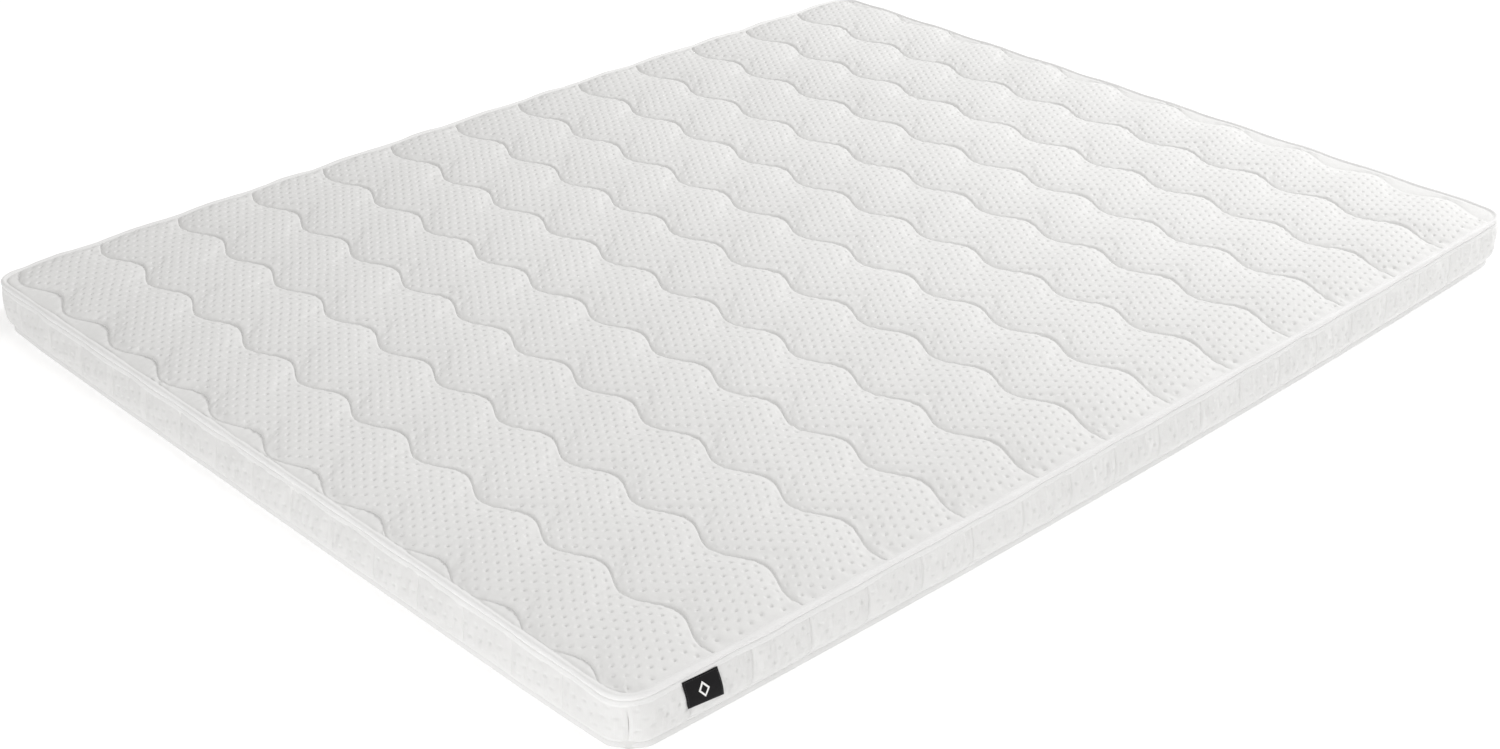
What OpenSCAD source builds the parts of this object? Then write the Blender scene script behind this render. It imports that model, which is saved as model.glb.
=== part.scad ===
// Thin memory foam mattress: a two-layer foam core in an inner sleeve, inside a quilted
// zip-round cover with tape-bound edges.
// Frame: X runs along the long side, Y across, Z up, origin at the middle of the underside.
// Every depth is measured inwards from the outer edge of the top binding.
// Every height is measured upwards from the underside.

/* [Overall] */
// Length over the top binding
mattress_l = 2000; // [1200:10:2400]
// Width over the top binding
mattress_w = 1600; // [700:10:2000]
// Plan radius of the corners, at the top binding
corner_r = 50; // [35:1:90]

/* [Foam core] */
// Thickness of the firmer foam below
support_foam_t = 30; // [20:1:80]
// Thickness of the memory foam above
memory_foam_t = 40; // [30:1:80]
// Wall of the stretch sleeve round the core
sleeve_t = 0.8; // [0.4:0.1:2]

/* [Bottom panel] */
// Thickness of the bottom fabric
bottom_fabric_t = 1.2; // [0.6:0.1:3]
// Thickness of the bottom wadding
bottom_wadding_t = 3; // [1:0.5:8]

/* [Top panel] */
// Thickness of the knitted top fabric
top_fabric_t = 1.4; // [0.8:0.1:3]
// Mean thickness of the quilted wadding
top_wadding_t = 8; // [5:0.5:16]
// Thickness of the backing scrim
top_backing_t = 0.6; // [0.3:0.1:2]

/* [Quilting] */
// Spacing of the wavy quilting lines
quilt_pitch = 150; // [80:1:200]
// Wavelength of each line
quilt_wave_l = 151.5; // [80:0.5:200]
// Half the swing of each line
quilt_swing = 13.7; // [5:0.1:30]
// Distance from the near long side to the first crest
quilt_crest_y = 102; // [0:0.5:150]
// How far each line leans along the long side, for every metre across
quilt_lean = 18.4; // [-40:0.1:40]
// Least distance from the centre of an end line to the outer edge
quilt_edge = 15; // [10:1:40]
// Width of a quilting thread line
thread_w = 1.6; // [0.8:0.1:3]
// Height of a thread line above its fabric
thread_h = 0.4; // [0.2:0.1:0.5]

/* [Border] */
// Depth of the border's outer face behind the top binding
border_depth = 1.2; // [1:0.1:4]
// Thickness of the border fabric
border_fabric_t = 1.4; // [0.8:0.1:3]
// Thickness of the border wadding
border_wadding_t = 5.2; // [3:0.1:10]
// Thickness of the border's backing scrim
border_backing_t = 0.6; // [0.3:0.1:2]
// Spacing of the upright quilting lines on the long sides
border_pitch_long = 100.8; // [60:0.1:200]
// Distance from the corner to the first upright line on a long side
border_first_long = 102; // [60:0.5:200]
// Spacing of the upright quilting lines on the short sides
border_pitch_short = 99.4; // [60:0.1:200]
// Distance from the corner to the first upright line on a short side
border_first_short = 120.5; // [60:0.5:200]
// Width of the seam where the border strip's ends join
end_seam_w = 1.6; // [1:0.1:3]

/* [Top binding] */
// Width of the binding on top of the panel
binding_flange_w = 11; // [8:0.5:20]
// Thickness of the binding on top of the panel
binding_flange_t = 2; // [1:0.1:4]
// Thickness of the binding at the panel's edge
binding_leg_t = 3.4; // [3:0.1:6]
// Height of the flat band under the rolled edge
binding_band_h = 6; // [3:0.5:8]
// Height of the seam allowance under the panel
binding_foot_h = 2.3; // [1:0.1:5]
// Distance from the rolled edge to the stitching
top_stitch_in = 8.6; // [4:0.1:10]

/* [Bottom binding] */
// Height of the bottom binding
bottom_binding_h = 12; // [8:0.5:20]
// Thickness of the bottom binding
bottom_binding_t = 3; // [1.5:0.1:5]
// Height of its stitching above the binding's lower edge
bottom_stitch_up = 8; // [3:0.5:9]
// Width and depth of a stitching line sunk in a binding
sunk_stitch = 0.4; // [0.2:0.1:0.8]

/* [Zip] */
// Thickness of the zip tapes
tape_t = 0.6; // [0.4:0.1:1]
// Height of the sewn part of the upper tape behind the border
tape_upper_h = 12; // [8:1:20]
// Depth of a coil row in front of its tape
coil_t = 2; // [1.5:0.1:4]
// Height of one coil row
coil_h = 1.6; // [1.2:0.1:3]
// Gap between the two coil rows
chain_gap = 1.2; // [1:0.1:2]
// Distance from the corner's end to the join of the zip's two ends
zip_join_in = 30; // [30:1:200]
// Gap between the zip's two ends
zip_join_gap = 6; // [4:1:20]
// Length of an end stop
stop_l = 3; // [2:0.5:6]

/* [Slider] */
// Length of the slider along the zip
slider_l = 12; // [10:0.5:20]
// Thickness of the front plate
front_plate_t = 1.2; // [0.8:0.1:2]
// Thickness of the back plate
back_plate_t = 1; // [0.6:0.1:2]
// Height of the slider's rims
rim_h = 0.8; // [0.5:0.1:2]
// Corner radius of the plates
plate_r = 1.5; // [0.5:0.1:3]
// Length of the web between the plates
web_l = 3; // [2:0.5:6]
// Thickness of the web
web_t = 0.6; // [0.4:0.1:0.6]
// Running clearance between the slider and the zip
slider_clear = 0.3; // [0.2:0.05:0.6]
// Free space between the slider and the fabric above, below and behind it
slider_gap = 0.6; // [0.4:0.1:2]
// Gap from the end stop to the slider at rest
slider_rest_gap = 1; // [0.5:0.5:5]
// Gap from the slider to the far corner at the end of its travel
slider_end_gap = 4; // [0:1:50]

/* [Pull tab] */
// Length of the pull tab from its pin
tab_l = 24; // [15:1:40]
// Width of the pull tab
tab_w = 5; // [4.4:0.1:5.6]
// Thickness of the pull tab
tab_t = 1; // [0.6:0.1:1]
// Radius of the tab's pin
pin_r = 0.6; // [0.5:0.05:0.8]
// Clearance round the pin and the arch
pin_clear = 0.3; // [0.2:0.05:0.5]
// Thickness of the arch that holds the pin
arch_t = 1; // [0.8:0.1:1.5]
// Width of the arch
arch_w = 1.6; // [1:0.1:2]
// Clear length under the arch
arch_span = 4; // [3:0.1:6]

/* [Label] */
// Width of the side label
label_w = 59; // [30:1:90]
// Height of the side label
label_h = 44.5; // [20:0.5:60]
// Thickness of the side label
label_t = 0.8; // [0.4:0.1:0.8]
// Distance from the near left corner to the label
label_in = 90; // [55:1:300]
// Distance from the label's edge to its stitching
label_hem = 2; // [1:0.1:5]
// Width of the label's stitching
label_stitch_w = 0.6; // [0.3:0.1:1]
// Thickness of the label's mark and stitching
label_print_t = 0.3; // [0.2:0.1:0.4]
// Height of the plain diamond mark
mark_h = 18; // [8:1:18]
// Width of the plain diamond mark
mark_w = 13; // [8:1:30]
// Line width of the mark
mark_line = 2; // [1:0.1:3]

/* [Hidden] */

round_fn = 96;
small_fn = 32;
over = 1;
steps_per_wave = 10;

// heights of the layers
z_core = bottom_fabric_t + bottom_wadding_t;
z_support = z_core + sleeve_t;
z_memory = z_support + support_foam_t;
z_sleeve_top = z_memory + memory_foam_t;
z_panel = z_sleeve_top + sleeve_t;
z_wadding = z_panel + top_backing_t;
z_fabric = z_wadding + top_wadding_t;
z_top = z_fabric + top_fabric_t;
z_crown = z_top + binding_flange_t;

// the top binding
z_bind = z_panel - binding_foot_h;
z_band = z_bind + binding_band_h;

// the slider and the channel that it runs in
slider_w = chain_gap + 2 * (coil_h + slider_clear + rim_h);
z_channel = bottom_fabric_t + bottom_binding_h;
z_chain = z_channel + slider_gap + slider_w / 2;
z_border = z_channel + slider_w + 2 * slider_gap;
border_h = z_bind - z_border;

// depths of the layers
d_wadding = border_depth + border_fabric_t;
d_backing = d_wadding + border_wadding_t;
d_tape = d_backing + border_backing_t;
d_tape_back = d_tape + tape_t;
d_back_plate = d_tape_back + slider_clear;
d_core = d_back_plate + back_plate_t + slider_gap;
d_foam = d_core + sleeve_t;
d_coil = d_tape - coil_t;
d_bottom = d_tape - bottom_binding_t;
d_label = border_depth - label_t;
d_print = d_label - label_print_t;

// depths of the slider's pieces
d_front_in = d_coil - slider_clear;
d_front_out = d_front_in - front_plate_t;
d_pin = d_front_out - pin_clear - pin_r;
d_arch_in = d_pin - pin_r - pin_clear;
d_arch_out = d_arch_in - arch_t;

// places along the zip, on the far long side
x_side_start = -mattress_l / 2 + corner_r;
x_join = x_side_start + zip_join_in;
x_stop = x_join + zip_join_gap / 2;
x_coil = x_stop + stop_l;
x_slider = x_coil + slider_rest_gap + slider_l / 2;
slider_travel = mattress_l / 2 - corner_r - slider_end_gap - slider_l / 2 - x_slider;

// quilting
quilt_count = floor((mattress_l - 2 * quilt_edge) / quilt_pitch) + 1;
y_crest = -mattress_w / 2 + quilt_crest_y;
y_quilt = mattress_w / 2 - binding_flange_w;
quilt_steps = ceil(2 * y_quilt / quilt_wave_l * steps_per_wave);

// label
x_label = -mattress_l / 2 + label_in;
z_label = z_band - label_h;

// rounded outline of the mattress, moved inwards by depth
module outline(depth) {
    l = mattress_l - 2 * depth;
    w = mattress_w - 2 * depth;
    r = corner_r - depth;
    square([l - 2 * r, w], center = true);
    square([l, w - 2 * r], center = true);
    for (sx = [-1, 1], sy = [-1, 1])
        translate([sx * (l / 2 - r), sy * (w / 2 - r)]) circle(r = r, $fn = round_fn);
}

// flat layer from z0 to z1
module slab(depth, z0, z1) {
    translate([0, 0, z0]) linear_extrude(z1 - z0) outline(depth);
}

// closed band round the mattress, between two depths
module band(outer, inner, z0, z1) {
    difference() {
        slab(outer, z0, z1);
        slab(inner, z0 - over, z1 + over);
    }
}

// box on the far long side, from x0 to x1, between two depths
module far_box(x0, x1, outer, inner, z0, z1) {
    translate([x0, mattress_w / 2 - inner, z0]) cube([x1 - x0, inner - outer, z1 - z0]);
}

// box on the near long side, from x0 to x1, between two depths
module near_box(x0, x1, outer, inner, z0, z1) {
    translate([x0, -mattress_w / 2 + outer, z0]) cube([x1 - x0, inner - outer, z1 - z0]);
}

// rounded plate standing in the XZ plane on the far side, centred on the chain
module far_plate(l, h, r, outer, inner) {
    translate([x_slider, mattress_w / 2 - outer, z_chain]) rotate([90, 0, 0])
        linear_extrude(inner - outer) {
            square([l - 2 * r, h], center = true);
            square([l, h - 2 * r], center = true);
            for (sx = [-1, 1], sz = [-1, 1])
                translate([sx * (l / 2 - r), sz * (h / 2 - r)]) circle(r = r, $fn = small_fn);
        }
}

// one wavy quilting line
function wave_x(y) = quilt_swing * cos(360 * (y - y_crest) / quilt_wave_l) + quilt_lean * y / 1000;
function wave_y(i) = -y_quilt + 2 * y_quilt * i / quilt_steps;
function wave_side(side) = [
    for (i = [0 : quilt_steps]) [wave_x(wave_y(i)) + side * thread_w / 2, wave_y(i)]
];
function reversed(list) = [for (i = [len(list) - 1 : -1 : 0]) list[i]];
module wave_line() {
    linear_extrude(thread_h) polygon(concat(wave_side(-1), reversed(wave_side(1))));
}

// upright lines on one side, in the frame of the near long side: u along it, face at y = 0
module upright_lines(side_l, first, pitch) {
    count = floor((side_l - corner_r - first) / pitch) + 1;
    for (i = [0 : count - 1])
        translate([first + i * pitch - side_l / 2 - thread_w / 2, -thread_h, z_border])
            cube([thread_w, thread_h, border_h]);
}

// foam core
module support_foam_layer() {
    color("#dfe3ea") slab(d_foam, z_support, z_memory);
}

module memory_foam_layer() {
    color("#f3e7b8") slab(d_foam, z_memory, z_sleeve_top);
}

module core_sleeve() {
    color("#eef0f2") difference() {
        slab(d_core, z_core, z_panel);
        slab(d_foam, z_support, z_sleeve_top);
    }
}

// bottom panel
module bottom_panel_fabric() {
    color("#efefee") slab(d_bottom, 0, bottom_fabric_t);
}

module bottom_panel_wadding() {
    color("#f8f8f6") slab(d_tape_back, bottom_fabric_t, z_core);
}

// top panel
module top_panel_backing() {
    color("#e8e8e6") slab(binding_leg_t, z_panel, z_wadding);
}

module top_panel_wadding() {
    color("#f8f8f6") slab(binding_leg_t, z_wadding, z_fabric);
}

module top_panel_fabric() {
    color("#f1f0ef") slab(binding_leg_t, z_fabric, z_top);
}

module top_quilting_thread() {
    color("#b9b9b7") intersection() {
        union() {
            for (i = [0 : quilt_count - 1])
                translate([(i - (quilt_count - 1) / 2) * quilt_pitch, 0, z_top]) wave_line();
        }
        slab(binding_flange_w, z_top - over, z_crown);
    }
}

// border
module border_backing() {
    color("#e8e8e6") band(d_backing, d_tape, z_border, z_bind);
}

module border_wadding() {
    color("#f8f8f6") band(d_wadding, d_backing, z_border, z_bind);
}

module border_fabric() {
    color("#ecebe9") band(border_depth, d_wadding, z_border, z_bind);
}

module border_quilting_thread() {
    // the stretch of a line that the label covers is left out
    face = mattress_w / 2 - border_depth;
    end_face = mattress_l / 2 - border_depth;
    color("#b9b9b7") difference() {
        for (turn = [0, 180]) rotate(turn) {
            translate([0, -face, 0]) upright_lines(mattress_l, border_first_long, border_pitch_long);
            translate([-end_face, 0, 0]) rotate(-90) mirror([1, 0, 0])
                upright_lines(mattress_w, border_first_short, border_pitch_short);
        }
        near_box(x_label - over, x_label + label_w + over, 0, border_depth, z_label - over, z_crown);
    }
}

module border_end_seam() {
    color("#c9c9c7") intersection() {
        band(border_depth - thread_h, border_depth, z_border, z_bind);
        translate([-mattress_l / 2 + corner_r, -mattress_w / 2 + corner_r, z_border]) rotate(225)
            translate([0, -end_seam_w / 2, 0]) cube([corner_r, end_seam_w, border_h]);
    }
}

// bindings
module top_binding() {
    color("#f6f6f5") difference() {
        union() {
            band(border_depth, d_tape, z_bind, z_panel);
            band(border_depth, binding_leg_t, z_bind, z_band);
            band(0, binding_leg_t, z_band, z_crown);
            band(0, binding_flange_w, z_top, z_crown);
        }
        band(top_stitch_in, top_stitch_in + sunk_stitch, z_crown - sunk_stitch, z_crown + over);
    }
}

module top_binding_stitching() {
    color("#cfcfcd") band(top_stitch_in, top_stitch_in + sunk_stitch, z_crown - sunk_stitch, z_crown);
}

module bottom_binding() {
    z_stitch = bottom_fabric_t + bottom_stitch_up;
    color("#f6f6f5") difference() {
        band(d_bottom, d_tape, bottom_fabric_t, z_channel);
        band(d_bottom - over, d_bottom + sunk_stitch, z_stitch, z_stitch + sunk_stitch);
    }
}

module bottom_binding_stitching() {
    z_stitch = bottom_fabric_t + bottom_stitch_up;
    color("#cfcfcd") band(d_bottom, d_bottom + sunk_stitch, z_stitch, z_stitch + sunk_stitch);
}

// zip
module zip_join_cut(half_gap) {
    far_box(x_join - half_gap, x_join + half_gap, 0, d_core, 0, z_bind);
}

module zip_tape_upper() {
    color("#f4f4f2") difference() {
        band(d_tape, d_tape_back, z_chain + chain_gap / 2, z_border + tape_upper_h);
        zip_join_cut(zip_join_gap / 2);
    }
}

module zip_tape_lower() {
    color("#f4f4f2") difference() {
        band(d_tape, d_tape_back, bottom_fabric_t, z_chain - chain_gap / 2);
        zip_join_cut(zip_join_gap / 2);
    }
}

module zip_coil_upper() {
    z0 = z_chain + chain_gap / 2;
    color("#dcdcda") difference() {
        band(d_coil, d_tape, z0, z0 + coil_h);
        zip_join_cut(zip_join_gap / 2 + stop_l);
    }
}

module zip_coil_lower() {
    z1 = z_chain - chain_gap / 2;
    color("#dcdcda") difference() {
        band(d_coil, d_tape, z1 - coil_h, z1);
        zip_join_cut(zip_join_gap / 2 + stop_l);
    }
}

module zip_end_stops() {
    half_h = chain_gap / 2 + coil_h;
    color("#b8bbbf") {
        far_box(x_stop, x_coil, d_coil, d_tape, z_chain - half_h, z_chain + half_h);
        far_box(2 * x_join - x_coil, 2 * x_join - x_stop, d_coil, d_tape,
            z_chain - half_h, z_chain + half_h);
    }
}

module zip_slider() {
    rim_z = slider_w / 2 - rim_h;
    arch_half = arch_span / 2 + arch_t;
    color("#b8bbbf") union() {
        far_plate(slider_l, slider_w, plate_r, d_front_out, d_front_in);
        far_plate(slider_l, slider_w, plate_r, d_back_plate, d_back_plate + back_plate_t);
        far_box(x_slider - web_l / 2, x_slider + web_l / 2, d_front_in, d_back_plate,
            z_chain - web_t / 2, z_chain + web_t / 2);
        for (z = [z_chain - slider_w / 2, z_chain + rim_z])
            far_box(x_slider - slider_l / 2 + plate_r, x_slider + slider_l / 2 - plate_r,
                d_front_in, d_tape - slider_clear, z, z + rim_h);
        difference() {
            far_box(x_slider - arch_half, x_slider + arch_half, d_arch_out, d_front_out,
                z_chain - arch_w / 2, z_chain + arch_w / 2);
            far_box(x_slider - arch_span / 2, x_slider + arch_span / 2, d_arch_in, d_front_out,
                z_chain - arch_w, z_chain + arch_w);
        }
    }
}

module zip_pull_tab() {
    hole_l = arch_span / 2 + arch_t + 2 * pin_clear;
    hole_w = arch_w + 2 * pin_clear;
    end_r = tab_w / 2;
    color("#b8bbbf") translate([x_slider, mattress_w / 2 - d_pin, z_chain]) union() {
        translate([0, 0, -tab_w / 2]) cylinder(r = pin_r, h = tab_w, $fn = small_fn);
        rotate([90, 0, 0]) translate([0, 0, -tab_t / 2]) linear_extrude(tab_t) difference() {
            union() {
                translate([end_r - tab_l, -tab_w / 2]) square([tab_l - end_r, tab_w]);
                translate([end_r - tab_l, 0]) circle(r = end_r, $fn = small_fn);
            }
            translate([-hole_l, -hole_w / 2]) square([hole_l, hole_w]);
        }
    }
}

// label
module side_label() {
    color("#1b1b1c") near_box(x_label, x_label + label_w, d_label, border_depth, z_label, z_band);
}

module diamond(w, h) {
    polygon([[-w / 2, 0], [0, -h / 2], [w / 2, 0], [0, h / 2]]);
}

module label_mark() {
    color("#e9e9e7")
        translate([x_label + label_w / 2, -mattress_w / 2 + d_label, z_label + label_h / 2])
            rotate([90, 0, 0]) linear_extrude(label_print_t) difference() {
                diamond(mark_w, mark_h);
                diamond(mark_w - 2 * mark_line, mark_h - 2 * mark_line * mark_h / mark_w);
            }
}

module label_stitching() {
    inner = label_hem + label_stitch_w;
    color("#2a2a2b") difference() {
        near_box(x_label + label_hem, x_label + label_w - label_hem, d_print, d_label,
            z_label + label_hem, z_band - label_hem);
        near_box(x_label + inner, x_label + label_w - inner, d_print - over, d_label + over,
            z_label + inner, z_band - inner);
    }
}

support_foam_layer();
memory_foam_layer();
core_sleeve();
bottom_panel_fabric();
bottom_panel_wadding();
top_panel_backing();
top_panel_wadding();
top_panel_fabric();
top_quilting_thread();
border_backing();
border_wadding();
border_fabric();
border_quilting_thread();
border_end_seam();
top_binding();
top_binding_stitching();
bottom_binding();
bottom_binding_stitching();
zip_tape_upper();
zip_tape_lower();
zip_coil_upper();
zip_coil_lower();
zip_end_stops();
zip_slider();
zip_pull_tab();
side_label();
label_mark();
label_stitching();
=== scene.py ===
"""Looks of a thin memory foam mattress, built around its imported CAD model. Lengths are in metres."""

import math

import bpy
import numpy as np
from mathutils import Matrix, Vector


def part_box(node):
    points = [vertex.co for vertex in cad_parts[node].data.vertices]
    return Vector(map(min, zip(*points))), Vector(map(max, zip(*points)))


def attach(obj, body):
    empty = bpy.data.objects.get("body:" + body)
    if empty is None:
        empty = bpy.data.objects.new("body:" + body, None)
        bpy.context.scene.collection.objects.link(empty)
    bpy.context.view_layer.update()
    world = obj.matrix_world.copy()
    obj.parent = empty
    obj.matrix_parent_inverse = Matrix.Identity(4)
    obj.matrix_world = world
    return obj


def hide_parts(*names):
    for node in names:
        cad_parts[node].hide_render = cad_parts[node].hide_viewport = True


MM = 0.001
BODY = "mattress"

# ---------------------------------------------------------------- driving sizes
CORNER_R = 50 * MM          # plan radius of the corners at the top binding
QUILT_PITCH = 150 * MM      # spacing of the wavy quilting lines
QUILT_LINES = 14
QUILT_WAVE = 151.5 * MM     # wavelength of each line
QUILT_SWING = 13.7 * MM     # half its swing
QUILT_CREST = 102 * MM      # from the near long side to the first crest
QUILT_LEAN = 0.0184         # how far each line leans along X, over its length
FLANGE_W = 9.5 * MM         # width of the binding on top of the panel
PUFF_H = 7.2 * MM           # rise of a channel above its stitching
VALLEY_GAP = 1.6 * MM       # stitched valleys stay this far above the wadding
GROOVE = 1.5 * MM           # depth of the pinched groove that holds a line's stitches
LONG_FIRST = 102 * MM       # first upright border line from a corner, on the long sides
LONG_PITCH = 100.8 * MM
SHORT_FIRST = 120.5 * MM    # the same, on the short sides
SHORT_PITCH = 99.4 * MM
BULGE = 4.6 * MM            # how far the border swells out between its lines
STRIP_SINK = 0.8 * MM       # how much lower the flat strips outside the end lines lie
EDGE_LIFT = 1.2 * MM        # how far the panel rises and falls in step with the edge's swell
EDGE_FADE = 40 * MM         # over this distance from the edge
TOP_REACH = 110 * MM        # the top panel bows over this distance from its edges
LOW_REACH = 200 * MM        # and the base cloth over this one

# how far the middle of each side bows outwards, in the order near, right, far, left
TOP_BOW = (11.5 * MM, 2 * MM, 11.5 * MM, -2 * MM)
LOW_BOW = (16.5 * MM, 2 * MM, 0, 1.5 * MM)
LOW_SHIFT = (0, 0, 0, 3.8 * MM)
NO_SHIFT = (0, 0, 0, 0)
CORNER_TOP = 2.5 * MM       # the corners stand out this far at the top
CORNER_LOW = -4.5 * MM      # and are drawn in this far at the foot

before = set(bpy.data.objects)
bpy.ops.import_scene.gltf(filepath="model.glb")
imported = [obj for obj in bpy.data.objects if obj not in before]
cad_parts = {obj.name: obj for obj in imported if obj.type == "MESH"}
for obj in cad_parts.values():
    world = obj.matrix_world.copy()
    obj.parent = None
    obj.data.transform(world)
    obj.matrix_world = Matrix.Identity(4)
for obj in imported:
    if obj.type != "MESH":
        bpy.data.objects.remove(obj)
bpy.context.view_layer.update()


def box_of(node):
    low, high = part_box(node)
    return np.array(low), np.array(high)


LOW, HIGH = box_of("top_binding")
LENGTH = HIGH[0] - LOW[0]
WIDTH = HIGH[1] - LOW[1]
Z_CROWN = HIGH[2]
Z_BIND = LOW[2]
Z_BORDER = box_of("border_fabric")[0][2]
Z_PANEL_BOTTOM = box_of("top_panel_fabric")[0][2]
Z_CHANNEL = box_of("bottom_binding")[1][2]
D_BORDER = HIGH[0] - box_of("border_fabric")[1][0]
D_WADDING = HIGH[0] - box_of("border_wadding")[1][0]
D_BOTTOM = HIGH[0] - box_of("bottom_binding")[1][0]
D_TAPE = HIGH[0] - box_of("zip_tape_upper")[1][0]
D_COIL = HIGH[0] - box_of("zip_coil_upper")[1][0]
D_PANEL = HIGH[0] - box_of("top_panel_fabric")[1][0]
Z_VALLEY = Z_PANEL_BOTTOM + VALLEY_GAP


# ---------------------------------------------------------------- small maths
def smooth(x):
    """0 below 0, 1 above 1, with level ends."""
    x = np.clip(x, 0, 1)
    return x * x * (3 - 2 * x)


def ripples(u, v, seed, shortest, longest, waves=14):
    """Smooth, repeatable unevenness from -1 to 1 or so, with wavelengths between the two lengths."""
    draw = np.random.RandomState(seed)
    total = np.zeros(np.broadcast(u, v).shape)
    for _ in range(waves):
        length = shortest * (longest / shortest) ** draw.rand()
        turn = draw.rand() * 2 * math.pi
        phase = draw.rand() * 2 * math.pi
        total += np.sin(2 * math.pi * (u * math.cos(turn) + v * math.sin(turn)) / length + phase)
    return total / math.sqrt(waves)


# ---------------------------------------------------------------- the outline, walked anticlockwise
QUARTER = math.pi / 2 * CORNER_R
LONG_RUN = LENGTH - 2 * CORNER_R
SHORT_RUN = WIDTH - 2 * CORNER_R
AROUND = 4 * QUARTER + 2 * LONG_RUN + 2 * SHORT_RUN


def outline_at(s):
    """Points and outward normals on the outer outline. s is 0 at the middle of the near left corner."""
    s = (np.asarray(s, float) + QUARTER / 2) % AROUND
    xy = np.zeros(s.shape + (2,))
    normal = np.zeros(s.shape + (2,))
    start = 0.0
    centre = np.array([LENGTH / 2 - CORNER_R, WIDTH / 2 - CORNER_R])
    for k, run in enumerate([LONG_RUN, SHORT_RUN, LONG_RUN, SHORT_RUN]):
        sign = [(-1, -1), (1, -1), (1, 1), (-1, 1)][k]
        middle = centre * sign
        on_arc = (s >= start) & (s < start + QUARTER)
        angle = math.pi + k * math.pi / 2 + (s[on_arc] - start) / CORNER_R
        normal[on_arc] = np.stack([np.cos(angle), np.sin(angle)], -1)
        xy[on_arc] = middle + CORNER_R * normal[on_arc]
        start += QUARTER
        on_side = (s >= start) & (s < start + run + 1e-12)
        angle = math.pi + (k + 1) * math.pi / 2
        out = np.array([math.cos(angle), math.sin(angle)])
        along = np.array([-out[1], out[0]])
        normal[on_side] = out
        xy[on_side] = middle + CORNER_R * out + (s[on_side] - start)[:, None] * along
        start += run
    return xy, normal


def upright_lines():
    """Arc lengths of the border's upright quilting lines, in order."""
    found = []
    for base, run, first, pitch, back in [
        (0.0, LENGTH, LONG_FIRST, LONG_PITCH, False),
        (QUARTER + LONG_RUN, WIDTH, SHORT_FIRST, SHORT_PITCH, True),
    ]:
        count = int((run - CORNER_R - first) / pitch + 1e-9) + 1
        for i in range(count):
            at = first + i * pitch
            if back:
                at = run - at
            found += [base + QUARTER / 2 + at - CORNER_R]
    return np.array(sorted(found + [s + AROUND / 2 for s in found]))


UPRIGHTS = upright_lines()


def stations(step, beside=()):
    """Arc lengths round the border, with samples on and beside each upright line and the end seam."""
    stops = np.concatenate([[0.0], UPRIGHTS, [AROUND]])
    beside = np.array(beside)
    reach = beside[-1] if len(beside) else 0.0
    out = []
    for a, b in zip(stops[:-1], stops[1:]):
        steps = max(2, math.ceil((b - a - 2 * reach) / step))
        middle = np.linspace(a + reach, b - reach, steps + 1)
        if len(beside):
            out += [[a], a + beside[:-1], middle, b - beside[-2::-1]]
        else:
            out.append(middle[:-1])
    return np.concatenate(out)


def stray(s, z):
    """How far a soft side stands outside the straight outline at each place and height, (len(s), n)."""
    place = (np.asarray(s, float) + QUARTER / 2) % AROUND
    top = np.zeros(place.shape)
    low = np.zeros(place.shape)
    foot = np.zeros(place.shape)
    start = 0.0
    for k, run in enumerate([LONG_RUN, SHORT_RUN, LONG_RUN, SHORT_RUN]):
        u = (place - start) / QUARTER
        corner = (u >= 0) & (u < 1)
        hump = np.sin(math.pi * u) ** 2
        top = np.where(corner, CORNER_TOP * hump, top)
        foot = np.where(corner, CORNER_LOW * hump, foot)
        start += QUARTER
        t = (place - start) / run
        side = (t >= 0) & (t <= 1)
        hump = 4 * t * (1 - t)
        top = np.where(side, TOP_BOW[k] * hump, top)
        low = np.where(side, LOW_BOW[k] * hump + LOW_SHIFT[k] * (1 - (2 * t - 1) ** 8), low)
        start += run
    up = smooth((z - Z_BORDER) / (Z_CROWN - 8 * MM - Z_BORDER))
    down = 1 - smooth((z - (Z_CHANNEL - 2.5 * MM)) / (8 * MM))
    return low[:, None] * (1 - up) + top[:, None] * up + foot[:, None] * down


def swept(s, depth, z, along=None, soft=True):
    """Points at the given depths and heights, round the outline. depth, z and along are (len(s), n)."""
    xy, normal = outline_at(s)
    if soft:
        depth = depth - stray(s, z)
    at = xy[:, None, :] - normal[:, None, :] * depth[..., None]
    if along is not None:
        onward = np.stack([-normal[:, 1], normal[:, 0]], -1)
        at = at + onward[:, None, :] * along[..., None]
    return np.concatenate([at, z[..., None]], -1)


def bowed(x, y, bows, shifts, reach):
    """Moves points of a flat panel outwards near its edges, in step with the bowed sides."""
    mid_x = np.clip(1 - (x / (LENGTH / 2 - CORNER_R)) ** 2, 0, 1)
    mid_y = np.clip(1 - (y / (WIDTH / 2 - CORNER_R)) ** 2, 0, 1)
    full_y = np.clip(1 - (y / (WIDTH / 2 - CORNER_R)) ** 8, 0, 1)
    near_y = smooth((np.abs(y) - (WIDTH / 2 - reach)) / reach)
    near_x = smooth((np.abs(x) - (LENGTH / 2 - reach)) / reach)
    out_y = np.where(y < 0, -bows[0], bows[2]) * mid_x * near_y
    left = bows[3] * mid_y + shifts[3] * full_y
    out_x = np.where(x < 0, -left, bows[1] * mid_y) * near_x
    return x + out_x, y + out_y


def from_line(s):
    """Distance along the border to the nearest upright line or end seam."""
    stops = np.concatenate([[0.0], UPRIGHTS, [AROUND]])
    return np.abs(s[:, None] - stops[None, :]).min(1)


def crest_angle(y):
    """Phase of the quilting wave, 0 at a crest."""
    return 2 * math.pi * (y + WIDTH / 2 - QUILT_CREST) / QUILT_WAVE


def channel_waves(x, y, leftward):
    """-1 to 1 in step with the quilting channels, for the long sides and for the short sides."""
    along_x = np.cos(2 * math.pi * (x - QUILT_LEAN * y) / QUILT_PITCH)
    return along_x, -np.sign(leftward + 1e-9) * np.cos(crest_angle(y))


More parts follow.
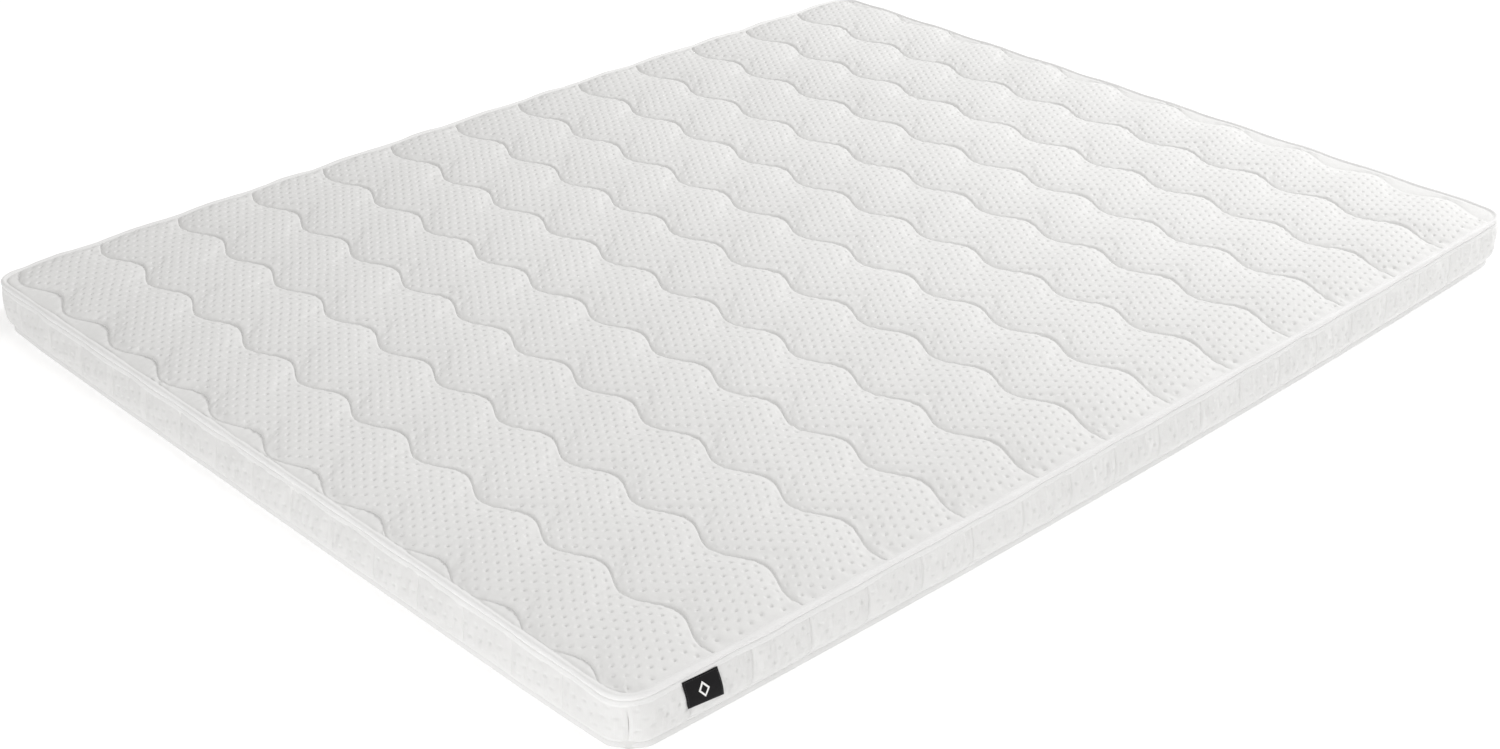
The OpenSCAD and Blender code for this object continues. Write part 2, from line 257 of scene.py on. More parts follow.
def side_swell(s):
    """-1 to 1 round the outline, in step with the quilting channels that meet the edge."""
    xy, normal = outline_at(s)
    on_long = np.abs(normal[:, 1])
    along_x, along_y = channel_waves(xy[:, 0], xy[:, 1], -normal[:, 0])
    return on_long * along_x + (1 - on_long) * along_y


# ---------------------------------------------------------------- meshes
def object_from(name, points, faces):
    """An object from points (n, 3) and faces: a list of integer arrays, each (m, corners)."""
    mesh = bpy.data.meshes.new(name)
    mesh.vertices.add(len(points))
    mesh.vertices.foreach_set("co", np.ascontiguousarray(points, np.float32).ravel())
    loops = np.concatenate([f.ravel() for f in faces]).astype(np.int32)
    sizes = np.concatenate([np.full(len(f), f.shape[1]) for f in faces]).astype(np.int32)
    starts = np.concatenate([[0], np.cumsum(sizes)[:-1]]).astype(np.int32)
    mesh.loops.add(len(loops))
    mesh.loops.foreach_set("vertex_index", loops)
    mesh.polygons.add(len(sizes))
    mesh.polygons.foreach_set("loop_start", starts)
    mesh.polygons.foreach_set("loop_total", sizes)
    mesh.polygons.foreach_set("use_smooth", np.full(len(sizes), True))
    mesh.update(calc_edges=True)
    mesh.validate()
    piece = bpy.data.objects.new(name, mesh)
    bpy.context.scene.collection.objects.link(piece)
    return piece


def grid_faces(rows, columns, wrap_rows=False, wrap_columns=False):
    """Quads of a grid whose point (i, j) has the index i * columns + j."""
    i = np.arange(rows if wrap_rows else rows - 1)
    j = np.arange(columns if wrap_columns else columns - 1)
    i, j = np.meshgrid(i, j, indexing="ij")
    a = i * columns + j
    b = ((i + 1) % rows) * columns + j
    c = ((i + 1) % rows) * columns + (j + 1) % columns
    d = i * columns + (j + 1) % columns
    return np.stack([a, b, c, d], -1).reshape(-1, 4)


def grid_rim(rows, columns):
    """Indices of a grid's outer points, in order round it."""
    return np.concatenate([
        np.arange(rows) * columns,
        (rows - 1) * columns + np.arange(1, columns),
        np.arange(rows - 2, -1, -1) * columns + columns - 1,
        np.arange(columns - 2, 0, -1),
    ])


def sheet(name, outer, inner):
    """A closed thin sheet between two grids of points (rows, columns, 3)."""
    rows, columns = outer.shape[:2]
    n = rows * columns
    faces = grid_faces(rows, columns)
    loop = grid_rim(rows, columns)
    skirt = np.stack([loop, np.roll(loop, -1), np.roll(loop, -1) + n, loop + n], -1)
    points = np.concatenate([outer.reshape(-1, 3), inner.reshape(-1, 3)])
    return object_from(name, points, [faces[:, ::-1], faces + n, skirt]), points


def set_uv(piece, name, corner_uv):
    layer = piece.data.uv_layers.new(name=name)
    layer.data.foreach_set("uv", np.ascontiguousarray(corner_uv, np.float32).ravel())


def loop_vertices(piece):
    found = np.zeros(len(piece.data.loops), np.int32)
    piece.data.loops.foreach_get("vertex_index", found)
    return found


def ring_object(name, s, depth, z, cloth_v, rows_of_map=8, along=None):
    """A closed section swept round the outline. cloth_v is each point's place along the section."""
    points = swept(s, depth, z, along)
    n_s, n_v = depth.shape
    piece = object_from(name, points.reshape(-1, 3), [grid_faces(n_s, n_v, True, True)])
    corner = loop_vertices(piece)
    i, j = corner // n_v, corner % n_v
    at_s, at_v = s[i], cloth_v[j]
    first = np.repeat(corner[::4], 4)
    last_column = (first // n_v == n_s - 1) & (i == 0)
    at_s = np.where(last_column, AROUND, at_s)
    length = cloth_v[-1] + (cloth_v[-1] - cloth_v[-2])
    first_j = np.minimum.reduceat(j, np.arange(0, len(j), 4)).repeat(4)
    last_j = np.maximum.reduceat(j, np.arange(0, len(j), 4)).repeat(4)
    at_v = np.where((last_j - first_j > 1) & (j == 0), length, at_v)
    set_uv(piece, "Cloth", np.stack([at_s, at_v], -1))
    row_l = AROUND / rows_of_map
    row = np.floor(np.minimum.reduceat(at_s, np.arange(0, len(at_s), 4)).repeat(4) / row_l + 1e-6)
    u = (at_s - row * row_l) / (row_l * 1.02) + 0.005
    v = (row + 0.02 + 0.96 * at_v / length) / rows_of_map
    set_uv(piece, "OFBake", np.stack([u, v], -1))
    return piece


# ---------------------------------------------------------------- dimples of the knitted cloth
DIMPLE_A = np.array([10.5, 16.0]) * MM
DIMPLE_B = np.array([-10.0, 12.0]) * MM
DIMPLE_WIDE = 3.1 * MM
DIMPLE_LONG = 2.1 * MM
DIMPLE_DEEP = 3.1 * MM


def dimples(u, v):
    """How deep the dimples are at a point of the cloth, from 0 to 1."""
    u = u + 0.9 * MM * ripples(u, v, 11, 0.05, 0.3)
    v = v + 0.9 * MM * ripples(u, v, 12, 0.05, 0.3)
    frame_2d = np.linalg.inv(np.stack([DIMPLE_A, DIMPLE_B], 1))
    p = frame_2d[0, 0] * u + frame_2d[0, 1] * v
    q = frame_2d[1, 0] * u + frame_2d[1, 1] * v
    deep = np.zeros(u.shape)
    for dp in (0, 1):
        for dq in (0, 1):
            cp, cq = np.floor(p) + dp, np.floor(q) + dq
            du = u - (DIMPLE_A[0] * cp + DIMPLE_B[0] * cq)
            dv = v - (DIMPLE_A[1] * cp + DIMPLE_B[1] * cq)
            wide = DIMPLE_WIDE * (1 + 0.25 * np.clip(dv / DIMPLE_LONG, -1, 1))
            deep = np.maximum(deep, np.exp(-((du / wide) ** 2 + (dv / DIMPLE_LONG) ** 2) ** 1.3))
    return deep


# ---------------------------------------------------------------- quilted top panel
STEEP_RUN = 2.6 * MM        # the cloth rises fast from a line over this distance
BROAD_RUN = 28 * MM         # and slowly over this one
LEAN_RUN = 22 * MM          # how far the steeper and flatter banks reach
END_RUN = 13 * MM           # the channels close over this distance at the binding
TOP_PUCKER = 0.9 * MM       # small folds beside the stitches
TOP_UNEVEN = 0.14 * MM


def wave(y):
    """How far a quilting line stands to the right of its middle at y."""
    return QUILT_SWING * np.cos(crest_angle(y)) + QUILT_LEAN * y


PANEL_X = LENGTH / 2 - 6 * MM
PANEL_Y = WIDTH / 2 - 6 * MM
LINE_LIMIT = LENGTH / 2 - 8.0 * MM
COARSE = 15
FINE = 100
COARSE_ROWS = 160
FINE_ROWS = 800


def line_x(k, y):
    """Where quilting line k runs at y. The end lines stop short of the panel's edge."""
    x = (k - (QUILT_LINES - 1) / 2) * QUILT_PITCH + wave(y)
    return np.clip(x, -LINE_LIMIT, LINE_LIMIT)


def eased(n):
    """n + 1 places from 0 to 1, closer together at both ends."""
    t = np.linspace(0, 1, n + 1)
    return t - 0.25 * np.sin(2 * math.pi * t) / (2 * math.pi)


def panel_columns(per_channel, margin, spread):
    """(stretch, place) of each column across X. Stretch -1 and QUILT_LINES - 1 are the margins."""
    out = [(-1, t) for t in np.linspace(0, 1, margin + 1)[:-1]]
    for k in range(QUILT_LINES - 1):
        out += [(k, t) for t in spread(per_channel)[:-1]]
    out += [(QUILT_LINES - 1, t) for t in np.linspace(0, 1, margin + 1)]
    return np.array([c[0] for c in out]), np.array([c[1] for c in out])


def panel_flat(stretch, place, y):
    """Flat places of the panel's grid points: X and Y for each column and row."""
    rows = np.broadcast_to(y[None, :], (len(stretch), len(y)))
    left = np.empty(rows.shape)
    right = np.empty(rows.shape)
    for k in range(-1, QUILT_LINES):
        own = stretch == k
        left[own] = -PANEL_X if k < 0 else line_x(k, y)
        right[own] = PANEL_X if k == QUILT_LINES - 1 else line_x(k + 1, y)
    return left + (right - left) * place[:, None], rows.copy()


def line_distance(x, y, signed=False):
    """Distance to the nearest quilting line, square to it, and negative on the -X side if signed."""
    slope = -QUILT_SWING * 2 * math.pi / QUILT_WAVE * np.sin(crest_angle(y)) + QUILT_LEAN
    across = (x - wave(y)) / QUILT_PITCH + (QUILT_LINES - 1) / 2
    nearest = np.clip(np.round(across), 0, QUILT_LINES - 1)
    off = (across - nearest) * QUILT_PITCH / np.sqrt(1 + slope ** 2)
    return off if signed else np.abs(off)


def edge_depth(x, y):
    """Depth of a point behind the outer outline."""
    cx, cy = LENGTH / 2 - CORNER_R, WIDTH / 2 - CORNER_R
    dx, dy = np.maximum(np.abs(x) - cx, 0), np.maximum(np.abs(y) - cy, 0)
    inner = np.maximum(np.abs(x) - cx, np.abs(y) - cy)
    return CORNER_R - np.where((dx > 0) & (dy > 0), np.hypot(dx, dy), inner)


def beyond_lines(x, y):
    """1 on the flat strips outside the end lines, 0 elsewhere."""
    out = np.abs(x) - (QUILT_LINES - 1) / 2 * QUILT_PITCH - np.sign(x) * wave(y)
    return smooth(out / (3 * MM)) * (np.abs(x) > (QUILT_LINES - 2) / 2 * QUILT_PITCH)


def puff(x, y):
    """Height of the quilted surface above its stitched valleys."""
    off = line_distance(x, y, True)
    d = np.abs(off)
    # the cloth stands steeper where a line bulges into it
    bulging = 1 + 0.75 * np.sign(off) * np.cos(crest_angle(y))
    steep = 1 - np.exp(-d / STEEP_RUN)
    broad = 1 - np.exp(-(d / BROAD_RUN) ** 1.15)
    ease = np.exp(-(d / LEAN_RUN) ** 2)
    rise = 0.3 * steep * (1 + (bulging - 1) * ease) + 0.7 * broad
    inside = np.maximum(edge_depth(x, y) - FLANGE_W, 0)
    end = 0.03 + 0.97 * (1 - np.exp(-(inside / END_RUN) ** 1.15))
    return PUFF_H * rise * end * (1 - 0.85 * beyond_lines(x, y))


def tuck_corners(x, y, half_x, half_y, keep, most):
    """Draws a grid's square corners in: radii up to keep stay, and its own corners come to most."""
    cx, cy = LENGTH / 2 - CORNER_R, WIDTH / 2 - CORNER_R
    dx, dy = np.abs(x) - cx, np.abs(y) - cy
    r = np.hypot(dx, dy)
    widest = math.hypot(half_x - cx, half_y - cy)
    new = keep + (r - keep) * (most - keep) / (widest - keep)
    corner = (dx > 0) & (dy > 0) & (r > keep)
    scale = np.where(corner, new / np.maximum(r, 1e-9), 1.0)
    x2 = np.where(corner, np.sign(x) * (cx + dx * scale), x)
    y2 = np.where(corner, np.sign(y) * (cy + dy * scale), y)
    return x2, y2


def resample(places, n):
    """Matrix that carries n + 1 even samples to the given places, 0 to n, along a smooth cubic."""
    weights = np.zeros((len(places), n + 1))
    for row, p in enumerate(places):
        i = min(int(p), n - 1)
        t = p - i
        cubic = [
            (i - 1, -0.5 * t + t * t - 0.5 * t ** 3),
            (i, 1 - 2.5 * t * t + 1.5 * t ** 3),
            (i + 1, 0.5 * t + 2 * t * t - 1.5 * t ** 3),
            (i + 2, -0.5 * t * t + 0.5 * t ** 3),
        ]
        for at, w in cubic:
            if at < 0:
                weights[row, 0] += 2 * w
                weights[row, 1] -= w
            elif at > n:
                weights[row, n] += 2 * w
                weights[row, n - 1] -= w
            else:
                weights[row, at] += w
    return weights


def settle_cloth(points, held, pressure, slack, most, stiff, frames=20):
    """Lets a stitched cloth swell and pucker. points is (rows, columns, 3), held marks the stitches."""
    rows, columns = held.shape
    piece = object_from("cloth_trial", points.reshape(-1, 3), [grid_faces(rows, columns)])
    group = piece.vertex_groups.new(name="held")
    group.add([int(i) for i in np.flatnonzero(held.ravel())], 1.0, "REPLACE")
    cloth = piece.modifiers.new("cloth", "CLOTH")
    setting = cloth.settings
    setting.quality = 4
    setting.mass = 0.25
    setting.tension_stiffness = 12
    setting.compression_stiffness = 12
    setting.shear_stiffness = 4
    setting.bending_stiffness = stiff
    setting.use_pressure = True
    setting.uniform_pressure_force = pressure
    setting.shrink_min = -slack
    setting.effector_weights.gravity = 0
    setting.vertex_group_mass = "held"
    cloth.collision_settings.use_collision = False
    cloth.point_cache.frame_start = 1
    cloth.point_cache.frame_end = frames
    scene = bpy.context.scene
    for number in range(1, frames + 1):
        scene.frame_set(number)
    view = bpy.context.evaluated_depsgraph_get()
    moved = piece.evaluated_get(view).to_mesh()
    found = np.zeros(len(moved.vertices) * 3, np.float32)
    moved.vertices.foreach_get("co", found)
    bpy.data.objects.remove(piece)
    scene.frame_set(1)
    change = found.reshape(points.shape) - points
    size = np.linalg.norm(change, axis=-1, keepdims=True)
    limit = most * np.tanh(size / most) / np.maximum(size, 1e-9)
    return points + change * np.where(held[..., None], 0, limit)


def top_panel():
    """The quilted top: fabric, puffed channels and dimples, as one closed pad over the wadding."""
    margin = 2
    stretch, place = panel_columns(COARSE, margin, lambda n: np.linspace(0, 1, n + 1))
    y = np.linspace(-PANEL_Y, PANEL_Y, COARSE_ROWS + 1)
    x, rows = panel_flat(stretch, place, y)
    height = Z_VALLEY + puff(x, rows) * (1 + 0.10 * ripples(x, rows, 5, 0.12, 0.5))
    points = np.stack([x, rows, height], -1)
    stitched = (place[:, None] < 1e-9) & (stretch[:, None] >= 0) & np.ones(rows.shape, bool)
    outer = edge_depth(x, rows) < FLANGE_W - 1 * MM
    points = settle_cloth(points, stitched | outer, pressure=1.0, slack=0.010, most=1.1 * MM, stiff=1.5)

    fine_margin = 8
    f_stretch, f_place = panel_columns(FINE, fine_margin, eased)
    f_y = np.linspace(-PANEL_Y, PANEL_Y, FINE_ROWS + 1)
    across = np.zeros((len(f_stretch), len(stretch)))
    for k in range(-1, QUILT_LINES):
        own = np.flatnonzero(f_stretch == k)
        first = np.flatnonzero(stretch == k)[0]
        n = margin if k in (-1, QUILT_LINES - 1) else COARSE
        across[own, first:first + n + 1] = resample(f_place[own] * n, n)
    along = resample((f_y + PANEL_Y) / (2 * PANEL_Y) * COARSE_ROWS, COARSE_ROWS)
    change = points - np.stack([x, rows, np.zeros_like(x)], -1)
    fx, fr = panel_flat(f_stretch, f_place, f_y)
    coarse_z = Z_VALLEY + puff(x, rows)
    swell = across @ (points[..., 2] - coarse_z) @ along.T
    px = fx + across @ change[..., 0] @ along.T
    py = fr + across @ change[..., 1] @ along.T

    inside = edge_depth(fx, fr) - FLANGE_W
    away = line_distance(fx, fr)
    strip = beyond_lines(fx, fr)
    shown = smooth((away - 4 * MM) / (8 * MM)) * smooth((inside - 1 * MM) / (5 * MM))
    pucker = np.exp(-away / (9 * MM)) * (1 - np.exp(-away / (1.5 * MM)))
    pz = Z_VALLEY + puff(fx, fr) + swell * smooth(away / (5 * MM))
    pz -= DIMPLE_DEEP * dimples(fx, fr) * shown * (1 - 0.75 * strip)
    pz += TOP_UNEVEN * ripples(fx, fr, 21, 0.006, 0.02, 20) * shown
    pz -= STRIP_SINK * strip * smooth((inside - 4 * MM) / (6 * MM))
    pz -= GROOVE * np.exp(-(away / (1.1 * MM)) ** 2)
    pz += TOP_PUCKER * pucker * ripples(0.35 * fx, fr, 22, 0.009, 0.028, 16)
    pz += edge_lift(inside, fx, fr) * (inside > -20 * MM)
    px, py = tuck_corners(px, py, PANEL_X, PANEL_Y,
                          CORNER_R - FLANGE_W + 2 * MM, CORNER_R - D_PANEL - 1.5 * MM)
    # under the binding's flange the cloth is pressed down
    sunk = smooth((-0.6 * MM - inside) / (2 * MM))
    pz = pz * (1 - sunk) + np.minimum(pz, Z_CROWN - 2.7 * MM) * sunk
    px, py = bowed(px, py, TOP_BOW, NO_SHIFT, TOP_REACH)
    fine = np.stack([px, py, pz], -1)

    n_x, n_y = fx.shape
    top = fine.reshape(-1, 3)
    loop = grid_rim(n_x, n_y)
    low = top[loop].copy()
    low[:, 2] = Z_PANEL_BOTTOM + 0.05 * MM
    base = len(top) + np.arange(len(loop))
    skirt = np.stack([loop, base, np.roll(base, -1), np.roll(loop, -1)], -1)
    centre = np.array([[0, 0, Z_PANEL_BOTTOM + 0.05 * MM]])
    hub = np.full(len(loop), len(top) + len(loop))
    fan = np.stack([base, hub, np.roll(base, -1)], -1)
    points = np.concatenate([top, low, centre])
    piece = object_from("quilted_top", points, [grid_faces(n_x, n_y), skirt, fan])
    corner = loop_vertices(piece)
    xy = points[corner][:, :2]
    uv = np.stack([xy[:, 0] / LENGTH + 0.5, (xy[:, 1] / WIDTH + 0.5) * 0.96 + 0.02], -1)
    n_top = (n_x - 1) * (n_y - 1) * 4
    lost = np.arange(len(corner)) >= n_top
    uv[lost] = [0.5, 0.005] + uv[lost] * [0.01, 0.01]
    set_uv(piece, "OFBake", uv)
    return piece


def edge_swell(x, y):
    """side_swell carried in from the nearest edge."""
    to_long = WIDTH / 2 - np.abs(y)
    to_short = LENGTH / 2 - np.abs(x)
    return np.where(to_long < to_short, *channel_waves(x, y, -x))


def edge_lift(inside, x, y):
    """How far the panel stands up or down near its edge, in step with the swell."""
    return EDGE_LIFT * np.exp(-np.maximum(inside, 0) / EDGE_FADE) * edge_swell(x, y)


# ---------------------------------------------------------------- border
SIDE_DIMPLE = 2.0 * MM
SIDE_RIB = 0.6 * MM         # fine upright ribs
SIDE_UNEVEN = 0.85 * MM
SIDE_CREASE = 1.4 * MM      # how deep a stitched line is drawn in
OVERLAP = 2.0 * MM          # how far the lapped end of the strip stands out at the end seam


def hugging(s):
    """1 where the border's lower edge comes down over the zip, 0 along the zip's open stretch."""
    return 1 - smooth((outline_at(s)[1][:, 1] + 0.05) / 0.9)


def border():
    """The padded side strip, swollen between its lines, its lower edge turned in over the zip."""
    s = stations(2.7 * MM, np.array([0.6, 1.3, 2.2, 3.4, 5.0, 7.0]) * MM)
    d = from_line(s)
    seam = np.where(s > AROUND / 2, s - AROUND, s)
    low = Z_BORDER - 0.25 * MM - 4.2 * MM * hugging(s)
    n_face, n_lip, n_back = 34, 5, 4
    t = np.linspace(0, 1, n_face + 1)
    swell = BULGE * (1 - 0.9 * np.exp(-d / (9 * MM)))
    swell *= 1 + 0.16 * ripples(s, 0 * s, 31, 0.08, 0.4)
    face_d = np.empty((len(s), n_face + 1))
    face_z = np.empty((len(s), n_face + 1))
    arch = np.sin(math.pi * t ** 0.65) ** 0.45
    lean = t ** 1.4
    for i in range(n_face + 1):
        face_d[:, i] = D_BORDER + 1.3 * MM * (1 - t[i]) ** 3 - swell * arch[i]
        face_z[:, i] = low + (Z_BIND + 0.6 * MM - low) * t[i]
    sv = s[:, None]
    tv = t[None, :] * (Z_BIND - Z_BORDER)
    inner = np.sin(math.pi * t)[None, :] ** 0.5
    away = smooth((d[:, None] - 2 * MM) / (6 * MM))
    face_d += SIDE_DIMPLE * dimples(sv + 0 * tv, tv + 0 * sv) * inner * away
    rib = ripples(sv, 0.12 * tv, 33, 0.004, 0.011, 18)
    face_d -= SIDE_RIB * rib * inner * (0.35 + 0.65 * away)
    face_d -= SIDE_UNEVEN * ripples(sv, 0.8 * tv, 34, 0.02, 0.06, 14) * inner * away
    crease = np.exp(-d / (2.2 * MM))[:, None]
    face_d += SIDE_CREASE * crease * inner
    overlap = smooth((seam + 0.2 * MM) / (1.2 * MM)) * (1 - smooth((seam - 2 * MM) / (9 * MM)))
    face_d -= OVERLAP * overlap[:, None] * inner
    face_d -= side_swell(s)[:, None] * 0.9 * MM * lean[None, :]
    bow = (1.6 + 1.1 * ripples(s, 0 * s, 35, 0.2, 0.7)[:, None]) * MM
    lean_z = (face_z - low[:, None]) / (Z_BIND - low[:, None])
    face_shift = bow * np.sin(math.pi * np.clip(lean_z, 0, 1))
    # the closed section: face upwards, back down inside it, then out along the turned-in lip
    top_z = np.full(len(s), Z_BIND + 0.6 * MM)
    back_d = D_WADDING - 0.05 * MM
    back_t = np.linspace(0, 1, n_back + 2)[1:]
    back = [(np.full(len(s), back_d), top_z * (1 - q) + (Z_BORDER - 0.1 * MM) * q) for q in back_t]
    lip_t = np.linspace(0, 1, n_lip + 1)[1:]
    lip_end = D_COIL + 1.6 * MM
    lip_out = [(np.full(len(s), back_d + (lip_end - back_d) * q),
                np.full(len(s), Z_BORDER - 0.08 * MM)) for q in lip_t]
    under_t = np.linspace(1, 0, 7)[:-1]
    under = []
    for q in under_t:
        reach = face_d[:, 0] * (1 - q) + lip_end * q
        drop = low * (1 - q ** 1.5) + (Z_BORDER - 0.3 * MM) * q ** 1.5
        under.append((reach, drop - 0.6 * MM * np.sin(math.pi * q) * hugging(s)))
    columns = [(face_d[:, i], face_z[:, i]) for i in range(n_face + 1)]
    columns += back + lip_out + under
    depth = np.stack([c[0] for c in columns], 1)
    z = np.stack([c[1] for c in columns], 1)
    along = np.zeros(depth.shape)
    along[:, :n_face + 1] = face_shift
    v = np.concatenate([[0], np.cumsum(np.hypot(np.diff(depth.mean(0)), np.diff(z.mean(0))))])
    piece = ring_object("border_quilted", s, depth, z, v, along=along)
    return piece, s, face_d, face_z, face_shift


# ---------------------------------------------------------------- bindings
def rounded_section(corners):
    """A closed section through the corners, rounded by two passes of corner cutting, in millimetres."""
    pts = np.array(corners, float)
    for _ in range(2):
        nxt = np.roll(pts, -1, 0)
        pts = np.stack([pts * 0.75 + nxt * 0.25, pts * 0.25 + nxt * 0.75], 1).reshape(-1, 2)
    return pts


def top_binding():
    """Folded tape over the top edge: flat on the panel, rolled at the rim, a flat band below a fold."""
    s = stations(5 * MM)
    z0, z1 = Z_BIND * 1000, Z_CROWN * 1000
    corners = [
        (9.9, z1 - 3.3), (9.7, z1 - 2.2), (8.2, z1 - 1.3), (7.5, z1 - 1.5), (6.8, z1 - 0.7),
        (4.8, z1 + 0.4), (2.4, z1 + 0.7), (0.3, z1 - 0.3), (-0.8, z1 - 2.8), (-0.6, z1 - 5.4),
        (0.5, z1 - 7.4), (1.4, z1 - 8.3), (0.5, z1 - 9.0), (-0.3, z1 - 10.6), (-0.5, z1 - 13.4),
        (-0.3, z0 - 2.4), (0.8, z0 - 3.6), (2.0, z0 - 3.2), (2.5, z0 + 2.0), (3.2, z1 - 7.0),
        (3.3, z1 - 3.6), (7.0, z1 - 3.5),
    ]
    pts = rounded_section(corners) * MM
    swell = side_swell(s)[:, None]
    wobble = ripples(s, 0 * s, 41, 0.03, 0.12)[:, None]
    slow = ripples(s, 0 * s, 42, 0.25, 0.9)[:, None]
    depth = np.broadcast_to(pts[:, 0], (len(s), len(pts))).copy()
    z = np.broadcast_to(pts[:, 1], (len(s), len(pts))).copy()
    rim = smooth((6 * MM - depth) / (6 * MM))
    depth -= rim * (1.0 * MM * swell + 0.35 * MM * wobble + 0.5 * MM * slow)
    height = smooth((z - (Z_BIND + 4 * MM)) / (8 * MM))
    z += height * (0.8 * MM * swell + 0.25 * MM * wobble)
    v = np.concatenate([[0], np.cumsum(np.hypot(*np.diff(pts, axis=0).T))])
    return ring_object("binding_top", s, depth, z, v), s, depth, z


def bottom_binding():
    """Folded tape round the bottom edge, standing from the floor to the zip."""
    s = stations(6 * MM)
    d = D_BOTTOM * 1000
    z1 = Z_CHANNEL * 1000
    corners = [
        (13.5, 0.35), (13.5, 0.05), (8.0, 0.0), (d + 0.6, 0.15), (d - 0.7, 1.2), (d - 1.3, 3.5),
        (d - 1.2, 6.5), (d - 0.6, 8.6), (d - 0.1, 9.2), (d - 0.7, 9.8), (d - 0.9, 11.6),
        (d - 0.2, z1 - 0.1), (d + 1.2, z1 + 0.15), (8.3, z1 - 0.2), (8.3, 8.0), (8.2, 1.4), (9.0, 0.8),
    ]
    pts = rounded_section(corners) * MM
    wobble = ripples(s, 0 * s, 43, 0.05, 0.25)[:, None]
    depth = np.broadcast_to(pts[:, 0], (len(s), len(pts))).copy()
    z = np.broadcast_to(pts[:, 1], (len(s), len(pts))).copy()
    rim = smooth((8 * MM - depth) / (3 * MM)) * smooth(z / (3 * MM))
    depth -= rim * 0.45 * MM * wobble
    z += 2.8 * MM * hugging(s)[:, None] * smooth((z - 7 * MM) / (6 * MM))
    v = np.concatenate([[0], np.cumsum(np.hypot(*np.diff(pts, axis=0).T))])
    return ring_object("binding_bottom", s, depth, z, v), s, depth, z


# ---------------------------------------------------------------- underside
BASE_GAP = 2.5 * MM         # the cloth ends this far inside the binding's face


def bottom_panel():
    """Thin padded base cloth, a closed sheet from binding to binding."""
    step = 9 * MM
    half_x, half_y = LENGTH / 2 - D_BOTTOM - BASE_GAP, WIDTH / 2 - D_BOTTOM - BASE_GAP
    gx = np.linspace(-half_x, half_x, int(2 * half_x / step))
    gy = np.linspace(-half_y, half_y, int(2 * half_y / step))
    x, y = np.meshgrid(gx, gy, indexing="ij")
    x2, y2 = tuck_corners(x, y, half_x, half_y, CORNER_R - 12 * MM, CORNER_R - D_BOTTOM - BASE_GAP)
    inside = edge_depth(x2, y2) - 14 * MM
    x2, y2 = bowed(x2, y2, LOW_BOW, LOW_SHIFT, LOW_REACH)
    rise = 0.35 * MM * (1 + 0.5 * ripples(x, y, 51, 0.05, 0.4)) * smooth(inside / (20 * MM))
    low = 0.12 * MM + rise + 0.3 * MM * smooth(-inside / (3 * MM))
    high = np.full(x.shape, box_of("bottom_panel_fabric")[1][2] - 0.05 * MM)
    piece, points = sheet("base_cloth", np.stack([x2, y2, low], -1), np.stack([x2, y2, high], -1))
    corner_at = loop_vertices(piece)
    xy = points[corner_at][:, :2]
    half = np.where(corner_at >= x.size, 0.5, 0.0)
    uv = np.stack([xy[:, 0] / LENGTH + 0.5, (xy[:, 1] / WIDTH + 0.5) * 0.48 + half + 0.01], -1)
    set_uv(piece, "OFBake", uv)
    return piece


# ---------------------------------------------------------------- stitches
STITCH = 3.4 * MM           # length of a stitch that shows
STITCH_PITCH = 4.4 * MM
THREAD_R = 0.32 * MM
SUNK = 0.08 * MM            # the bindings' stitches sit this far into the tape


def face_uv(piece):
    """Gives every face its own cell of the map."""
    mesh = piece.data
    sizes = np.zeros(len(mesh.polygons), np.int32)
    mesh.polygons.foreach_get("loop_total", sizes)
    side_n = math.ceil(math.sqrt(len(sizes)))
    face = np.repeat(np.arange(len(sizes)), sizes)
    first = np.repeat(np.cumsum(sizes) - sizes, sizes)
    turn = (np.arange(len(face)) - first) / np.repeat(sizes, sizes) * 2 * math.pi
    u = (face % side_n + 0.5 + 0.45 * np.cos(turn)) / side_n
    v = (face // side_n + 0.5 + 0.45 * np.sin(turn)) / side_n
    set_uv(piece, "OFBake", np.stack([u, v], -1))


def spaced(path, pitch, length):
    """Starts and ends of the stitches along a dense path (n, 3)."""
    run = np.concatenate([[0], np.cumsum(np.linalg.norm(np.diff(path, axis=0), axis=1))])
    count = int(run[-1] // pitch)
    if count < 1:
        return np.zeros((0, 2, 3))
    centre = (np.arange(count) + 0.5) * run[-1] / count
    ends = [np.stack([np.interp(centre + half, run, path[:, k]) for k in range(3)], -1)
            for half in (-length / 2, length / 2)]
    return np.stack(ends, 1)


